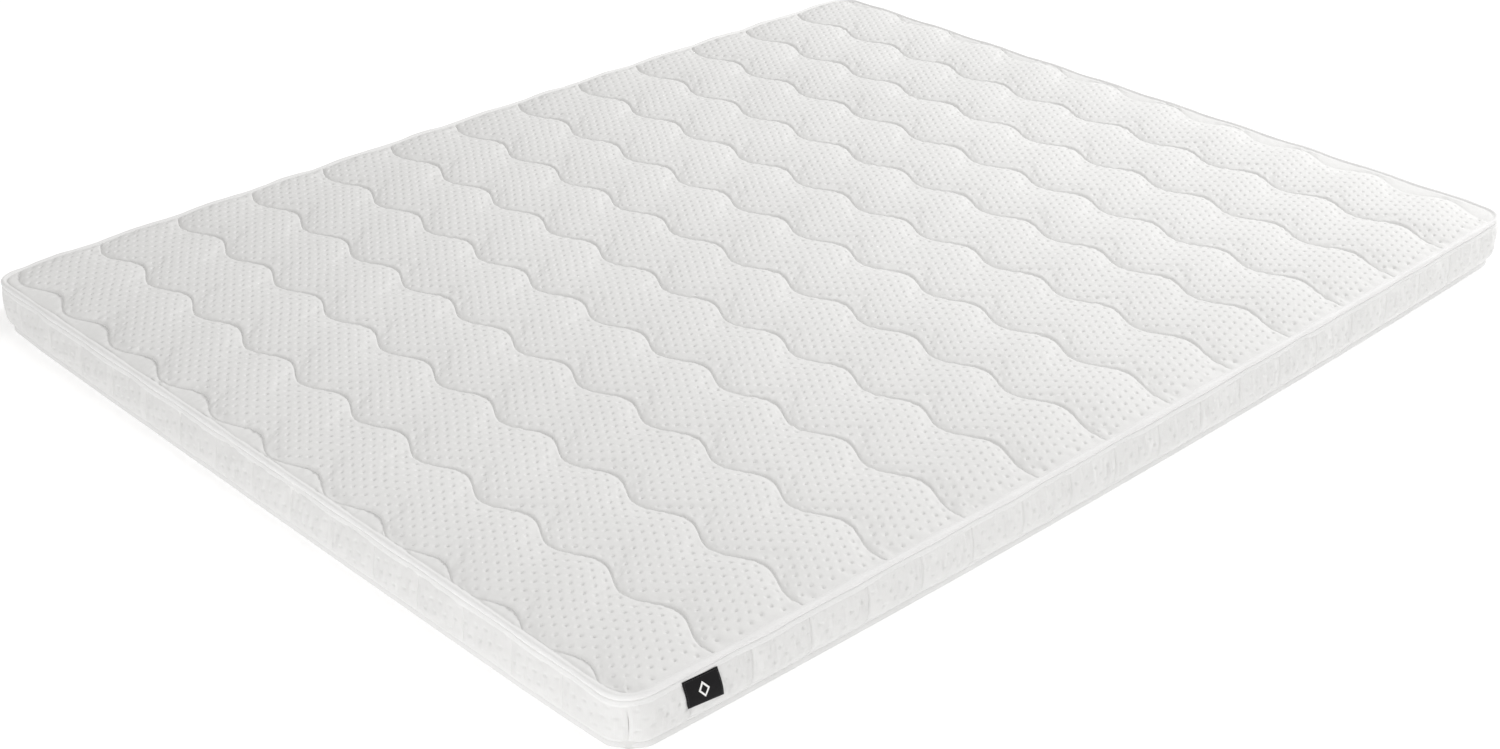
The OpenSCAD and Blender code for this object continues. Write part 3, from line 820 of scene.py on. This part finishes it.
def stitches(name, spans, radius=THREAD_R, sides=6):
    """Thread capsules along the spans (n, 2, 3), joined into one piece."""
    a, b = spans[:, 0], spans[:, 1]
    axis = b - a
    size = np.linalg.norm(axis, axis=1, keepdims=True)
    axis = axis / size
    helper = np.where(np.abs(axis[:, 2:3]) > 0.9, [[1.0, 0, 0]], [[0, 0, 1.0]])
    u = np.cross(axis, helper)
    u /= np.linalg.norm(u, axis=1, keepdims=True)
    w = np.cross(axis, u)
    angle = np.arange(sides) * 2 * math.pi / sides
    ring = u[:, None] * np.cos(angle)[None, :, None] + w[:, None] * np.sin(angle)[None, :, None]
    rows = [(0.10, 0.62), (0.30, 1.0), (0.70, 1.0), (0.90, 0.62)]
    parts = [a[:, None]]
    for at, scale in rows:
        parts.append((a + (b - a) * at)[:, None] + ring * radius * scale)
    parts.append(b[:, None])
    points = np.concatenate(parts, 1)
    per = points.shape[1]
    quads, tris = [], []
    for r in range(len(rows) - 1):
        for i in range(sides):
            j = (i + 1) % sides
            low, high = 1 + r * sides, 1 + (r + 1) * sides
            quads.append([low + i, low + j, high + j, high + i])
    last = 1 + (len(rows) - 1) * sides
    for i in range(sides):
        j = (i + 1) % sides
        tris.append([0, 1 + j, 1 + i])
        tris.append([per - 1, last + i, last + j])
    base = (np.arange(len(spans)) * per)[:, None, None]
    quads = (np.array(quads)[None] + base).reshape(-1, 4)
    tris = (np.array(tris)[None] + base).reshape(-1, 3)
    piece = object_from(name, points.reshape(-1, 3), [quads, tris])
    face_uv(piece)
    return piece


def quilting_spans():
    """Stitches down in the grooves of the wavy lines."""
    out = []
    y = np.linspace(-WIDTH / 2 + FLANGE_W, WIDTH / 2 - FLANGE_W, 1600)
    for k in range(QUILT_LINES):
        x = (k - (QUILT_LINES - 1) / 2) * QUILT_PITCH + wave(y)
        inside = edge_depth(x, y) - FLANGE_W
        z = Z_VALLEY - GROOVE + 0.16 * MM + edge_lift(inside, x, y)
        bx, by = bowed(x, y, TOP_BOW, NO_SHIFT, TOP_REACH)
        path = np.stack([bx, by, z], -1)
        shown = np.flatnonzero(inside > 0.8 * MM)
        for run in np.split(shown, np.flatnonzero(np.diff(shown) > 1) + 1):
            if len(run) > 8:
                out.append(spaced(path[run], STITCH_PITCH, STITCH))
    return np.concatenate(out)


def upright_spans(s, depth, z, shift, lines, out_by):
    """Stitches up the border's lines: depth, z and shift are the face of the border at each s."""
    out = []
    for at in lines:
        i = int(np.argmin(np.abs(s - at)))
        path = swept(s[i:i + 1], depth[i:i + 1] - out_by, z[i:i + 1], shift[i:i + 1])[0]
        keep = (path[:, 2] > Z_BORDER + 1.5 * MM) & (path[:, 2] < Z_BIND - 1 * MM)
        out.append(spaced(path[keep], STITCH_PITCH, STITCH))
    return np.concatenate(out)


def ring_spans(s, depth, z, near_depth, near_z):
    """Stitches round a binding, along the point of its section nearest the given depth and height."""
    column = int(np.argmin(np.hypot(depth.mean(0) - near_depth, z.mean(0) - near_z)))
    before, after = (column - 1) % depth.shape[1], (column + 1) % depth.shape[1]
    mean_d, mean_z = depth.mean(0), z.mean(0)
    dd, dz = mean_d[after] - mean_d[before], mean_z[after] - mean_z[before]
    out_d, out_z = dz / math.hypot(dd, dz), -dd / math.hypot(dd, dz)
    if out_d * (mean_d[column] - mean_d.mean()) + out_z * (mean_z[column] - mean_z.mean()) < 0:
        out_d, out_z = -out_d, -out_z
    dense = np.arange(0, AROUND, 1.1 * MM)
    ring_s = np.append(s, AROUND)
    d = np.interp(dense, ring_s, np.append(depth[:, column], depth[0, column])) - out_d * SUNK
    up = np.interp(dense, ring_s, np.append(z[:, column], z[0, column])) - out_z * SUNK
    return spaced(swept(dense, d[:, None], up[:, None])[:, 0], STITCH_PITCH, STITCH)


# ---------------------------------------------------------------- zip
COIL_PITCH = 1.4 * MM


def far_s(x):
    """Arc length of a place on the far long side."""
    return QUARTER * 2.5 + LONG_RUN + SHORT_RUN + (LENGTH / 2 - CORNER_R - x)


def coil_row(node_name, phase):
    """One row of the zip's coil, its turns standing out along the far side, where the zip shows."""
    low, high = box_of(node_name)
    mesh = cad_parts[node_name].data
    at = np.zeros(len(mesh.vertices) * 3, np.float32)
    mesh.vertices.foreach_get("co", at)
    at = at.reshape(-1, 3)
    ends = at[(at[:, 1] > 0) & (np.abs(at[:, 0]) < LENGTH / 2 - CORNER_R - 1 * MM)][:, 0]
    gap = float(ends.min()), float(ends.max())
    begin, finish = far_s(gap[0]), far_s(gap[1]) + AROUND
    bare = far_s(LENGTH / 2 - CORNER_R) + AROUND - 20 * MM
    s = np.concatenate([np.arange(begin, far_s(-LENGTH / 2 + CORNER_R) + 12 * MM, COIL_PITCH / 6),
                        np.arange(far_s(-LENGTH / 2 + CORNER_R) + 12 * MM, bare, 6 * MM),
                        np.arange(bare, finish, COIL_PITCH / 6), [finish]])
    turn = 0.5 - 0.5 * np.cos(2 * math.pi * s / COIL_PITCH + phase)
    turn = turn ** 0.7
    half_z = (high[2] - low[2]) / 2
    mid_z = (high[2] + low[2]) / 2
    depth_mid, half_d = (D_COIL + D_TAPE) / 2, (D_TAPE - D_COIL) / 2
    angle = np.arange(8) * math.pi / 4
    slim = 1 - 0.38 * (1 - turn)[:, None]
    depth = depth_mid - half_d * np.cos(angle)[None, :] * np.where(np.cos(angle) > 0, slim, 1.0)
    z = mid_z + half_z * np.sin(angle)[None, :] * slim
    points = swept(s, depth, z, soft=False).reshape(-1, 3)
    n = len(s)
    caps = np.stack([np.arange(8)[::-1], (n - 1) * 8 + np.arange(8)])
    piece = object_from(node_name + "_turns", points, [grid_faces(n, 8, False, True), caps])
    face_uv(piece)
    return piece


# ---------------------------------------------------------------- label
# (distance from the left end, height) of the top left, top right, bottom right and bottom left corners
LABEL_CORNERS = np.array([[88, 76.5], [144.5, 73.5], [152.5, 29], [94, 36]]) * MM
LABEL_T = 0.6 * MM
LABEL_W = 59 * MM
LABEL_H = 44 * MM
LABEL_HEM = 2.3 * MM        # from the label's edge to its stitches


def label_place(a, b, outside):
    """Points of the label's face: a runs from left to right and b from top to bottom, 0 to 1."""
    top = LABEL_CORNERS[0] + (LABEL_CORNERS[1] - LABEL_CORNERS[0]) * a[..., None]
    low = LABEL_CORNERS[3] + (LABEL_CORNERS[2] - LABEL_CORNERS[3]) * a[..., None]
    at = top + (low - top) * b[..., None]
    s = at[..., 0] - CORNER_R + QUARTER / 2
    depth = np.interp(at[..., 1], label_z, label_depth) - outside
    depth = depth - 0.5 * MM * np.sin(math.pi * a) * np.sin(math.pi * b) * (1 - 0.4 * a)
    flat_s, flat_d, flat_z = s.ravel(), depth.ravel()[:, None], at[..., 1].ravel()[:, None]
    return swept(flat_s, flat_d, flat_z)[:, 0].reshape(a.shape + (3,))


def lay_label():
    """Works out how far the label has to stand out to clear the border and the binding's band."""
    start = LABEL_CORNERS[:, 0].min() - CORNER_R + QUARTER / 2
    stop = LABEL_CORNERS[:, 0].max() - CORNER_R + QUARTER / 2
    heights = np.linspace(24 * MM, 80 * MM, 57)
    found = np.full(heights.shape, 1.0)
    for s, depth, z in ((side_s, side_depth, side_z), (rim_s, rim_depth, rim_z)):
        for i in np.flatnonzero((s > start) & (s < stop)):
            for k, height in enumerate(heights):
                close = np.abs(z[i] - height) < 2.2 * MM
                if close.any():
                    found[k] = min(found[k], depth[i][close].min())
    found[found > 0.9] = found[found < 0.9].min()
    kernel = np.ones(7) / 7
    padded = np.pad(found, 3, mode="edge")
    return heights, np.minimum(np.convolve(padded, kernel, "valid"), found + 0.8 * MM) - 0.25 * MM


def slab_piece(name, outer, inner):
    """A sheet whose faces each have their own cell of the map."""
    piece, _ = sheet(name, outer, inner)
    face_uv(piece)
    return piece


def side_label():
    a, b = np.meshgrid(np.linspace(0, 1, 33), np.linspace(0, 1, 27), indexing="ij")
    edge = np.minimum(np.minimum(a, 1 - a) * LABEL_W, np.minimum(b, 1 - b) * LABEL_H)
    hem = 0.25 * MM * (1 - smooth(edge / (3.0 * MM)))
    return slab_piece("label_cloth", label_place(a, b, LABEL_T - hem), label_place(a, b, 0 * a))


def label_mark():
    """A plain diamond outline, woven on the label."""
    turn = np.linspace(0, 2 * math.pi, 97)[:, None]
    corner = np.maximum(np.abs(np.cos(turn)) + np.abs(np.sin(turn)), 1e-6)
    r = np.array([[0.66, 0.72, 1.0, 1.06]])
    a = 0.5 + 0.145 * r * np.cos(turn) / corner
    b = 0.5 + 0.27 * r * np.sin(turn) / corner
    lift = np.array([[0.02, 0.3, 0.3, 0.02]]) * MM + 0 * turn
    return slab_piece("label_diamond", label_place(a, b, LABEL_T + lift),
                      label_place(a, b, LABEL_T - 0.2 * MM + 0 * a))


def label_stitch_spans():
    """Stitches round the label, along its hem."""
    inset_a, inset_b = LABEL_HEM / LABEL_W, LABEL_HEM / LABEL_H
    t = np.linspace(0, 1, 300)
    across, down = inset_a + (1 - 2 * inset_a) * t, inset_b + (1 - 2 * inset_b) * t
    sides = [(across, 0 * t + inset_b), (0 * t + 1 - inset_a, down),
             (across[::-1], 0 * t + 1 - inset_b), (0 * t + inset_a, down[::-1])]
    return np.concatenate([
        spaced(label_place(a, b, LABEL_T + 0.12 * MM), 3.0 * MM, 2.3 * MM) for a, b in sides])


# ---------------------------------------------------------------- materials
def node(tree, kind, **settings):
    made = tree.nodes.new(kind)
    for key, value in settings.items():
        setattr(made, key, value)
    return made


def coordinates(tree, uv_name=None, scale=(1, 1, 1)):
    """Object coordinates, or a named UV map, scaled."""
    mapping = node(tree, "ShaderNodeMapping")
    mapping.inputs["Scale"].default_value = scale
    if uv_name:
        source = node(tree, "ShaderNodeUVMap", uv_map=uv_name)
        tree.links.new(source.outputs["UV"], mapping.inputs["Vector"])
    else:
        source = node(tree, "ShaderNodeTexCoord")
        tree.links.new(source.outputs["Object"], mapping.inputs["Vector"])
    return mapping.outputs["Vector"]


def new_material(name, uv_name=None):
    material = bpy.data.materials.new(name)
    material.use_nodes = True
    tree = material.node_tree
    return material, tree, tree.nodes["Principled BSDF"], coordinates(tree, uv_name)


def noise(tree, vector, scale, detail=3.0, roughness=0.55):
    made = node(tree, "ShaderNodeTexNoise")
    made.inputs["Scale"].default_value = scale
    made.inputs["Detail"].default_value = detail
    made.inputs["Roughness"].default_value = roughness
    tree.links.new(vector, made.inputs["Vector"])
    return made.outputs["Fac"]


def bands(tree, vector, direction, scale, distortion=0.0):
    made = node(tree, "ShaderNodeTexWave", bands_direction=direction)
    made.inputs["Scale"].default_value = scale
    made.inputs["Distortion"].default_value = distortion
    made.inputs["Detail"].default_value = 1.0
    made.inputs["Detail Scale"].default_value = 1.5
    tree.links.new(vector, made.inputs["Vector"])
    return made.outputs["Fac"]


def math_node(tree, operation, a, b):
    made = node(tree, "ShaderNodeMath", operation=operation)
    for socket, value in ((made.inputs[0], a), (made.inputs[1], b)):
        if isinstance(value, (int, float)):
            socket.default_value = value
        else:
            tree.links.new(value, socket)
    return made.outputs["Value"]


def ramp(tree, factor, dark, light, low=0.0, high=1.0):
    made = node(tree, "ShaderNodeValToRGB")
    made.color_ramp.elements[0].position = low
    made.color_ramp.elements[0].color = (*dark, 1)
    made.color_ramp.elements[1].position = high
    made.color_ramp.elements[1].color = (*light, 1)
    tree.links.new(factor, made.inputs["Fac"])
    return made.outputs["Color"]


def bump(tree, height, distance):
    made = node(tree, "ShaderNodeBump")
    made.inputs["Distance"].default_value = distance
    tree.links.new(height, made.inputs["Height"])
    return made.outputs["Normal"]


def finish_shader(tree, shader, colour, normal, constants):
    """Joins up the colour and normal, and sets the sockets that are the same all over."""
    tree.links.new(colour, shader.inputs["Base Color"])
    tree.links.new(normal, shader.inputs["Normal"])
    for name, value in constants.items():
        shader.inputs[name].default_value = value


WAVE_PERIOD = 20.0 / (2 * math.pi)   # a wave texture of scale 1 repeats every 1 / this much


def cloth_material(name, light, dark, uv_name=None, wale=1.3 * MM, course=1.0 * MM, depth=0.06 * MM,
                   sheen=0.1, rough=0.9, cloud=2.5):
    """Knit or woven cloth: upright wales, courses across them, a little fuzz, uneven colour and painted
    shade that darkens the gaps of the knit.
    """
    material, tree, shader, vector = new_material(name, uv_name)
    wales = bands(tree, vector, "X", 1 / wale / WAVE_PERIOD, 1.2)
    courses = bands(tree, vector, "Y", 1 / course / WAVE_PERIOD, 1.5)
    knit = math_node(tree, "MULTIPLY", wales, courses)
    fuzz = noise(tree, vector, 900, 2)
    height = math_node(tree, "ADD", knit, math_node(tree, "MULTIPLY", fuzz, 0.6))
    # painted shade: the colour follows the knit's height, so its gaps come out darker; the cloud noise
    # adds uneven colour
    tone_and_hollow_shade = math_node(tree, "ADD", math_node(tree, "MULTIPLY", noise(tree, vector, cloud, 4), 0.6),
                     math_node(tree, "MULTIPLY", height, 0.3))
    finish_shader(tree, shader, ramp(tree, tone_and_hollow_shade, dark, light, 0.1, 0.75), bump(tree, height, depth), {
        "Roughness": rough, "Sheen Weight": sheen, "Sheen Roughness": 0.4, "Specular IOR Level": 0.25})
    return material


def thread_material(name, light, dark):
    """Twisted sewing thread."""
    material, tree, shader, vector = new_material(name)
    twist = noise(tree, vector, 1400, 2)
    finish_shader(tree, shader, ramp(tree, twist, dark, light, 0.3, 0.7), bump(tree, twist, 0.1 * MM),
                  {"Roughness": 0.6, "Sheen Weight": 0.2})
    return material


def foam_material(name, light, dark, cell):
    """Open-cell foam: fine pores, their insides darkened as painted shade, and a little unevenness."""
    material, tree, shader, vector = new_material(name)
    pores = node(tree, "ShaderNodeTexVoronoi")
    pores.inputs["Scale"].default_value = 1 / cell
    tree.links.new(vector, pores.inputs["Vector"])
    # painted shade: the pores' colour darkens with the same distance that sinks them; the noise adds
    # uneven colour
    tone_and_hollow_shade = math_node(tree, "ADD", pores.outputs["Distance"], noise(tree, vector, 6, 4))
    finish_shader(tree, shader, ramp(tree, tone_and_hollow_shade, dark, light, 0.3, 1.1),
                  bump(tree, pores.outputs["Distance"], cell * 0.5), {"Roughness": 0.95})
    return material


def wadding_material(name):
    """Loose polyester fibre."""
    material, tree, shader, vector = new_material(name)
    fibre = noise(tree, vector, 220, 8, 0.7)
    finish_shader(tree, shader, ramp(tree, fibre, (0.78, 0.78, 0.77), (0.93, 0.93, 0.92), 0.3, 0.7),
                  bump(tree, fibre, 1.5 * MM), {"Roughness": 1.0, "Sheen Weight": 0.3})
    return material


def metal_material(name):
    """Nickel plate with fine brushing and slightly worn, duller patches."""
    material, tree, shader, vector = new_material(name)
    brush = noise(tree, coordinates(tree, scale=(120, 1800, 1800)), 1.0, 3)
    patch = noise(tree, vector, 260, 3)
    tree.links.new(ramp(tree, patch, (0.22,) * 3, (0.38,) * 3), shader.inputs["Roughness"])
    finish_shader(tree, shader, ramp(tree, patch, (0.52, 0.53, 0.55), (0.72, 0.73, 0.75)),
                  bump(tree, brush, 0.02 * MM), {"Metallic": 1.0})
    return material


def coil_material(name):
    """Polyester zip coil, with a band for each turn, darker between the turns as painted shade."""
    material, tree, shader, vector = new_material(name)
    turns = bands(tree, vector, "DIAGONAL", 1 / COIL_PITCH / WAVE_PERIOD)
    # painted shade: the colour darkens where the bands sink, between the turns
    finish_shader(tree, shader, ramp(tree, turns, (0.6, 0.6, 0.59), (0.86, 0.86, 0.85)),
                  bump(tree, turns, 0.4 * MM), {"Roughness": 0.45})
    return material


def dress(piece, material):
    piece.data.materials.clear()
    piece.data.materials.append(material)


WHITE = (0.80, 0.80, 0.795)
WHITE_LOW = (0.72, 0.72, 0.715)
PALE = (0.8, 0.8, 0.79)
PALE_LOW = (0.7, 0.7, 0.69)


def even_cloth(name, cell, light=PALE, dark=PALE_LOW, **options):
    """A plain cloth whose wales and courses are cell apart."""
    return cloth_material(name, light, dark, wale=cell, course=cell, **options)


knit = cloth_material("knit_top", WHITE, WHITE_LOW)
knit_side = cloth_material("knit_side", WHITE, WHITE_LOW, uv_name="Cloth",
                           wale=2.0 * MM, course=1.4 * MM)
tape = cloth_material("binding_tape", (0.84, 0.84, 0.838), (0.78, 0.78, 0.777), uv_name="Cloth",
                      wale=0.9 * MM, course=0.5 * MM, depth=0.05 * MM, sheen=0.05, rough=0.8)
base_knit = cloth_material("base_knit", PALE, PALE_LOW, wale=1.6 * MM, course=1.2 * MM)
scrim = even_cloth("scrim", 2.5 * MM)
sleeve = even_cloth("sleeve_knit", 1.5 * MM, (0.82, 0.83, 0.84), (0.74, 0.75, 0.76))
zip_cloth = even_cloth("zip_cloth", 0.7 * MM, depth=0.1 * MM)
thread = thread_material("thread", (0.85, 0.85, 0.845), PALE_LOW)
label_weave = even_cloth("label_weave", 0.6 * MM, (0.008, 0.0075, 0.0085), (0.004, 0.0035, 0.0045),
                         depth=0.03 * MM, sheen=0.0)
mark_weave = even_cloth("mark_weave", 0.6 * MM, (0.88, 0.88, 0.87), (0.8, 0.8, 0.79),
                        depth=0.04 * MM, rough=0.8)
label_thread = thread_material("label_thread", (0.03, 0.03, 0.032), (0.015, 0.015, 0.016))
metal = metal_material("nickel")
coil = coil_material("zip_coil")
fibre = wadding_material("fibre")
memory = foam_material("memory_foam", (0.87, 0.8, 0.56), (0.78, 0.7, 0.45), 1.1 * MM)
support = foam_material("support_foam", (0.78, 0.8, 0.84), (0.68, 0.7, 0.75), 1.8 * MM)

for name, material in {
    "support_foam_layer": support, "memory_foam_layer": memory, "core_sleeve": sleeve,
    "bottom_panel_wadding": fibre, "top_panel_wadding": fibre, "border_wadding": fibre,
    "top_panel_backing": scrim, "border_backing": scrim, "zip_tape_upper": zip_cloth,
    "zip_tape_lower": zip_cloth, "zip_end_stops": metal, "zip_slider": metal, "zip_pull_tab": metal,
}.items():
    dress(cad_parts[name], material)

# ---------------------------------------------------------------- build
def add_piece(piece, material, node_name):
    """Dresses a piece, fixes it to the mattress and puts it in the place of its CAD node."""
    dress(piece, material)
    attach(piece, BODY)
    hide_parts(node_name)


panel = top_panel()
add_piece(panel, knit, "top_panel_fabric")

side, side_s, side_depth, side_z, side_shift = border()
add_piece(side, knit_side, "border_fabric")

rim, rim_s, rim_depth, rim_z = top_binding()
add_piece(rim, tape, "top_binding")
foot, foot_s, foot_depth, foot_z = bottom_binding()
add_piece(foot, tape, "bottom_binding")

base = bottom_panel()
add_piece(base, base_knit, "bottom_panel_fabric")

add_piece(stitches("quilting_stitches", quilting_spans()), thread, "top_quilting_thread")
for name, lines, node_name in (("border_stitches", UPRIGHTS, "border_quilting_thread"),
                               ("seam_stitches", [0.0], "border_end_seam")):
    spans = upright_spans(side_s, side_depth, side_z, side_shift, lines, 0.1 * MM)
    add_piece(stitches(name, spans), thread, node_name)
rim_spans = ring_spans(rim_s, rim_depth, rim_z, 7.2 * MM, Z_CROWN - 1.2 * MM)
band_spans = ring_spans(rim_s, rim_depth, rim_z, -0.3 * MM, Z_BIND + 1.5 * MM)
add_piece(stitches("rim_stitches", np.concatenate([rim_spans, band_spans])), thread,
          "top_binding_stitching")
foot_spans = ring_spans(foot_s, foot_depth, foot_z, D_BOTTOM - 0.3 * MM, 9.2 * MM)
add_piece(stitches("foot_stitches", foot_spans), thread, "bottom_binding_stitching")
for name, phase in (("zip_coil_upper", 0.0), ("zip_coil_lower", math.pi)):
    add_piece(coil_row(name, phase), coil, name)

label_z, label_depth = lay_label()
add_piece(side_label(), label_weave, "side_label")
add_piece(label_mark(), mark_weave, "label_mark")
add_piece(stitches("label_stitches", label_stitch_spans(), 0.22 * MM), label_thread,
          "label_stitching")

# ---------------------------------------------------------------- camera, floor and light
CAMERA_AT = Vector((-2.31937, -2.42969, 1.67230))
CAMERA_LOOK = Vector((0.600009, 0.640577, -0.479217))
CAMERA_UP = Vector((0.333622, 0.344091, 0.877666))
LENS_MM = 52.903
FLOOR_HALF = 30.0
FLOOR_GLOW = 0.33
SKY_COLOUR = (1, 0.988, 0.975, 1)
SKY_STRENGTH = 0.60
LIGHTS = (   # name, place, aim, side of the square, watts
    ("key", (4.6, -0.7, 2.4), (0.2, 0, 0), 0.7, 134),
    ("left", (-3.4, -1.3, 0.42), (-1.0, 0.1, 0.05), 0.7, 17),
    ("near", (-0.1, -1.5, 3.4), (0, -0.1, 0), 1.6, 31),
)


def add_camera():
    data = bpy.data.cameras.new("camera")
    data.lens = LENS_MM
    data.sensor_width = 36
    data.clip_end = 100
    camera = bpy.data.objects.new("camera", data)
    right = CAMERA_LOOK.cross(CAMERA_UP).normalized()
    up = right.cross(CAMERA_LOOK).normalized()
    turn = Matrix((right, up, -CAMERA_LOOK.normalized())).transposed()
    camera.matrix_world = Matrix.Translation(CAMERA_AT) @ turn.to_4x4()
    bpy.context.scene.collection.objects.link(camera)
    bpy.context.scene.camera = camera


def add_floor():
    points = FLOOR_HALF * np.array([[-1, -1, 0], [1, -1, 0], [1, 1, 0], [-1, 1, 0]])
    floor = object_from("floor", points, [np.array([[0, 1, 2, 3]])])
    material, tree, shader, vector = new_material("pale_floor")
    tree.links.new(ramp(tree, noise(tree, vector, 2.0), (0.9, 0.9, 0.9), (0.93, 0.93, 0.93)),
                   shader.inputs["Base Color"])
    shader.inputs["Roughness"].default_value = 0.9
    shader.inputs["Emission Color"].default_value = (1, 1, 1, 1)
    shader.inputs["Emission Strength"].default_value = FLOOR_GLOW
    dress(floor, material)


def add_light(name, at, towards, size, power):
    data = bpy.data.lights.new(name, "AREA")
    data.shape = "SQUARE"
    data.size = size
    data.energy = power
    light = bpy.data.objects.new(name, data)
    light.location = at
    light.rotation_euler = (Vector(towards) - Vector(at)).to_track_quat("-Z", "Y").to_euler()
    bpy.context.scene.collection.objects.link(light)


def add_world():
    world = bpy.data.worlds.new("studio")
    world.use_nodes = True
    background = world.node_tree.nodes["Background"]
    background.inputs["Color"].default_value = SKY_COLOUR
    background.inputs["Strength"].default_value = SKY_STRENGTH
    bpy.context.scene.world = world


add_camera()
add_floor()
add_world()
for light in LIGHTS:
    add_light(*light)
bpy.context.scene.view_settings.view_transform = "Standard"
